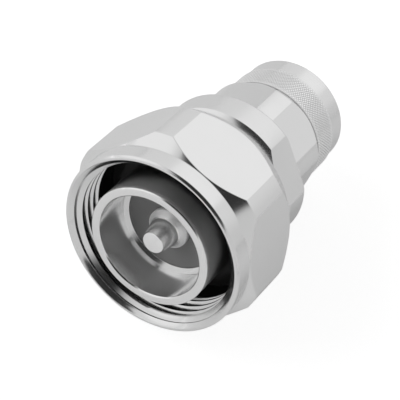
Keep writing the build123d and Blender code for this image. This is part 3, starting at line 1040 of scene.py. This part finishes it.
# %% Give every piece its finish
finishes = {
    "large_nut": mouth_painted_shade,
    "large_nut_thread": mouth_painted_shade,
    "n_nut": nut_plate,
    "n_nut_thread": nut_plate,
    "n_nut_knurl": knurl_groove_painted_shade,
    "tube": tube_painted_shade,
    "body": body_plate,
    "n_body": body_plate,
    "insulator_clamp_bush": body_plate,
    "pin": pin_satin_painted_highlight,
    "centre_conductor": contact_silver,
    "sleeve": contact_silver,
    "n_pin": contact_silver,
    "large_retaining_ring": ring_bronze,
    "n_retaining_ring": ring_bronze,
    "large_insulator": grey_moulding,
    "n_insulator": grey_moulding,
    "large_face_gasket": black_rubber,
    "n_face_gasket": black_rubber,
    "large_nut_seal": black_rubber,
    "n_nut_seal": black_rubber,
    "body_joint_seal": black_rubber,
}
for name, finish in finishes.items():
    piece = bpy.data.objects[name]
    indices = [face.material_index for face in piece.data.polygons]
    piece.data.materials.clear()
    piece.data.materials.append(finish)
    if "flats" in piece:
        piece.data.materials.append(milled_plate)
        piece.data.polygons.foreach_set("material_index", indices)
print("pieces finished:", len(finishes))

# %% [markdown]
# ## Floor, surroundings and light
# The adapter was shot on white, inside white surroundings that are open only where the camera looks
# in. Bare metal shows little but its surroundings, so that dark opening matters as much as the
# light: it draws the dark streaks on the bevels and in the mouth of the nut, where painted shade adds
# to it. The paper is white to the camera and through glass. Metal gets only a tenth of that white,
# because with all of it the faces that mirror the paper lose themselves in the background, which the
# photo doesn't show.

# %% Lay a white floor
WHITE_IN_MIRRORS = 0.1


def white_to(tree, mirror_share):
    """1 for rays from the camera and through glass, a share for mirrored rays, else 0."""
    seen_by = add_node(tree, "ShaderNodeLightPath")
    mirrored = add_node(tree, "ShaderNodeMath", operation="MULTIPLY_ADD")
    mirrored.inputs[1].default_value = mirror_share
    either = add_node(tree, "ShaderNodeMath", operation="MAXIMUM")
    tree.links.new(seen_by.outputs["Is Glossy Ray"], mirrored.inputs[0])
    tree.links.new(seen_by.outputs["Is Camera Ray"], mirrored.inputs[2])
    tree.links.new(mirrored.outputs["Value"], either.inputs[0])
    tree.links.new(seen_by.outputs["Is Transmission Ray"], either.inputs[1])
    return either.outputs["Value"]


clear_bench()
bpy.ops.mesh.primitive_plane_add(size=3)
floor = bpy.context.object
floor.name = "floor"
paper = bpy.data.materials.new("paper")
paper.use_nodes = True
tree = paper.node_tree
tree.nodes.clear()
lit = add_node(tree, "ShaderNodeBsdfDiffuse", color=(0.80, 0.80, 0.80, 1))
lit_softly = add_node(tree, "ShaderNodeBsdfDiffuse", color=(0.34, 0.34, 0.34, 1))
glow = add_node(tree, "ShaderNodeEmission", color=(1, 1, 1, 1), strength=0.82)
white = add_node(tree, "ShaderNodeAddShader")
choice = add_node(tree, "ShaderNodeMixShader")
output = add_node(tree, "ShaderNodeOutputMaterial")
tree.links.new(lit_softly.outputs["BSDF"], white.inputs[0])
tree.links.new(glow.outputs["Emission"], white.inputs[1])
tree.links.new(white_to(tree, WHITE_IN_MIRRORS), choice.inputs["Fac"])
tree.links.new(lit.outputs["BSDF"], choice.inputs[1])
tree.links.new(white.outputs["Shader"], choice.inputs[2])
tree.links.new(choice.outputs["Shader"], output.inputs["Surface"])
floor.data.materials.append(paper)
print("floor laid:", paper.name)

# %% [markdown]
# The surroundings are pale, a little brighter on the left than on the right. Zones of another
# brightness are blended in by direction, with soft edges, as a photographer hangs lamps, paper and
# black card round a product.

# %% Surround it with pale walls
def soft_zone(tree, direction, centre, reach, below, inside, edge):
    """Blend a brightness into the surroundings inside an ellipsoid of directions."""
    offset = add_node(tree, "ShaderNodeVectorMath", operation="SUBTRACT")
    offset.inputs[1].default_value = centre
    squeeze = add_node(tree, "ShaderNodeVectorMath", operation="DIVIDE")
    squeeze.inputs[1].default_value = reach
    away = add_node(tree, "ShaderNodeVectorMath", operation="LENGTH")
    mask = add_node(tree, "ShaderNodeMapRange", interpolation_type="SMOOTHSTEP",
                    from_min=1 - edge, from_max=1 + edge)
    blend = add_node(tree, "ShaderNodeMix", data_type="FLOAT")
    blend.inputs["A"].default_value = inside
    tree.links.new(direction, offset.inputs[0])
    tree.links.new(offset.outputs["Vector"], squeeze.inputs[0])
    tree.links.new(squeeze.outputs["Vector"], away.inputs[0])
    tree.links.new(away.outputs["Value"], mask.inputs["Value"])
    tree.links.new(mask.outputs["Result"], blend.inputs["Factor"])
    tree.links.new(below, blend.inputs["B"])
    return blend.outputs["Result"]


world = bpy.data.worlds.new("studio")
bpy.context.scene.world = world
world.use_nodes = True
tree = world.node_tree
background = tree.nodes["Background"]
background.inputs["Color"].default_value = (1, 1, 1, 1)
direction = add_node(tree, "ShaderNodeTexCoord").outputs["Generated"]
sides = add_node(tree, "ShaderNodeSeparateXYZ")
walls = add_node(tree, "ShaderNodeMapRange", from_min=-0.7, from_max=0.7, to_min=0.66, to_max=0.78)
tree.links.new(direction, sides.inputs["Vector"])
tree.links.new(sides.outputs["Y"], walls.inputs["Value"])
print("surroundings:", world.name)

# %% [markdown]
# Each zone lies where a surface that needs it mirrors it. The ceiling and the far side are light
# grey, with a bright window in the far side and one on the left. The four dark zones lie ahead of
# the mouth and round the camera, and a later zone covers an earlier one. To the camera and through
# glass all of it is white.

# %% Add the soft windows and the dark zones
zones = {
    "ceiling": ((0.0, 0.0, 1.0), (0.75, 0.75, 0.4), 0.66, 0.25),
    "far side": ((0.84, 0.05, 0.40), (0.55, 0.72, 0.30), 0.79, 0.25),
    "far window": ((0.82, 0.12, 0.54), (0.30, 0.46, 0.18), 0.96, 0.12),
    "left window": ((-0.28, 0.86, 0.42), (0.36, 0.40, 0.36), 0.94, 0.2),
    "dark ahead of the mouth": ((-0.98, -0.05, 0.16), (0.30, 0.24, 0.40), 0.02, 0.25),
    "dark right of the camera": ((-0.61, -0.46, 0.64), (0.17, 0.17, 0.15), 0.03, 0.25),
    "dark below the camera": ((-0.72, 0.00, 0.64), (0.28, 0.42, 0.26), 0.04, 0.12),
    "dark round the camera": ((-0.34, -0.10, 0.88), (0.40, 0.62, 0.32), 0.03, 0.12),
}
brightness = walls.outputs["Result"]
for centre, reach, inside, edge in zones.values():
    brightness = soft_zone(tree, direction, centre, reach, brightness, inside, edge)
strength = add_node(tree, "ShaderNodeMix", data_type="FLOAT")
strength.inputs["B"].default_value = 1.0
tree.links.new(white_to(tree, 0), strength.inputs["Factor"])
tree.links.new(brightness, strength.inputs["A"])
tree.links.new(strength.outputs["Result"], background.inputs["Strength"])
print("zones:", ", ".join(zones))

# %% [markdown]
# One large lamp hangs on the left, above the adapter. It is hidden from mirrored rays, because the
# plate shows soft surroundings and no lamp.

# %% Hang one large soft light on the left
key_data = bpy.data.lights.new("key", "AREA")
key_data.shape = "RECTANGLE"
key_data.size = 0.8
key_data.size_y = 0.6
key_data.energy = 6.0
key = bpy.data.objects.new("key", key_data)
bpy.context.scene.collection.objects.link(key)
key.location = (-0.45, 0.75, 0.5)
key.rotation_euler = (Vector((0, 0, 0)) - key.location).to_track_quat("-Z", "Y").to_euler()
key.visible_glossy = False
bpy.context.scene.view_settings.view_transform = "Standard"
print("light", [round(v, 2) for v in key.location])
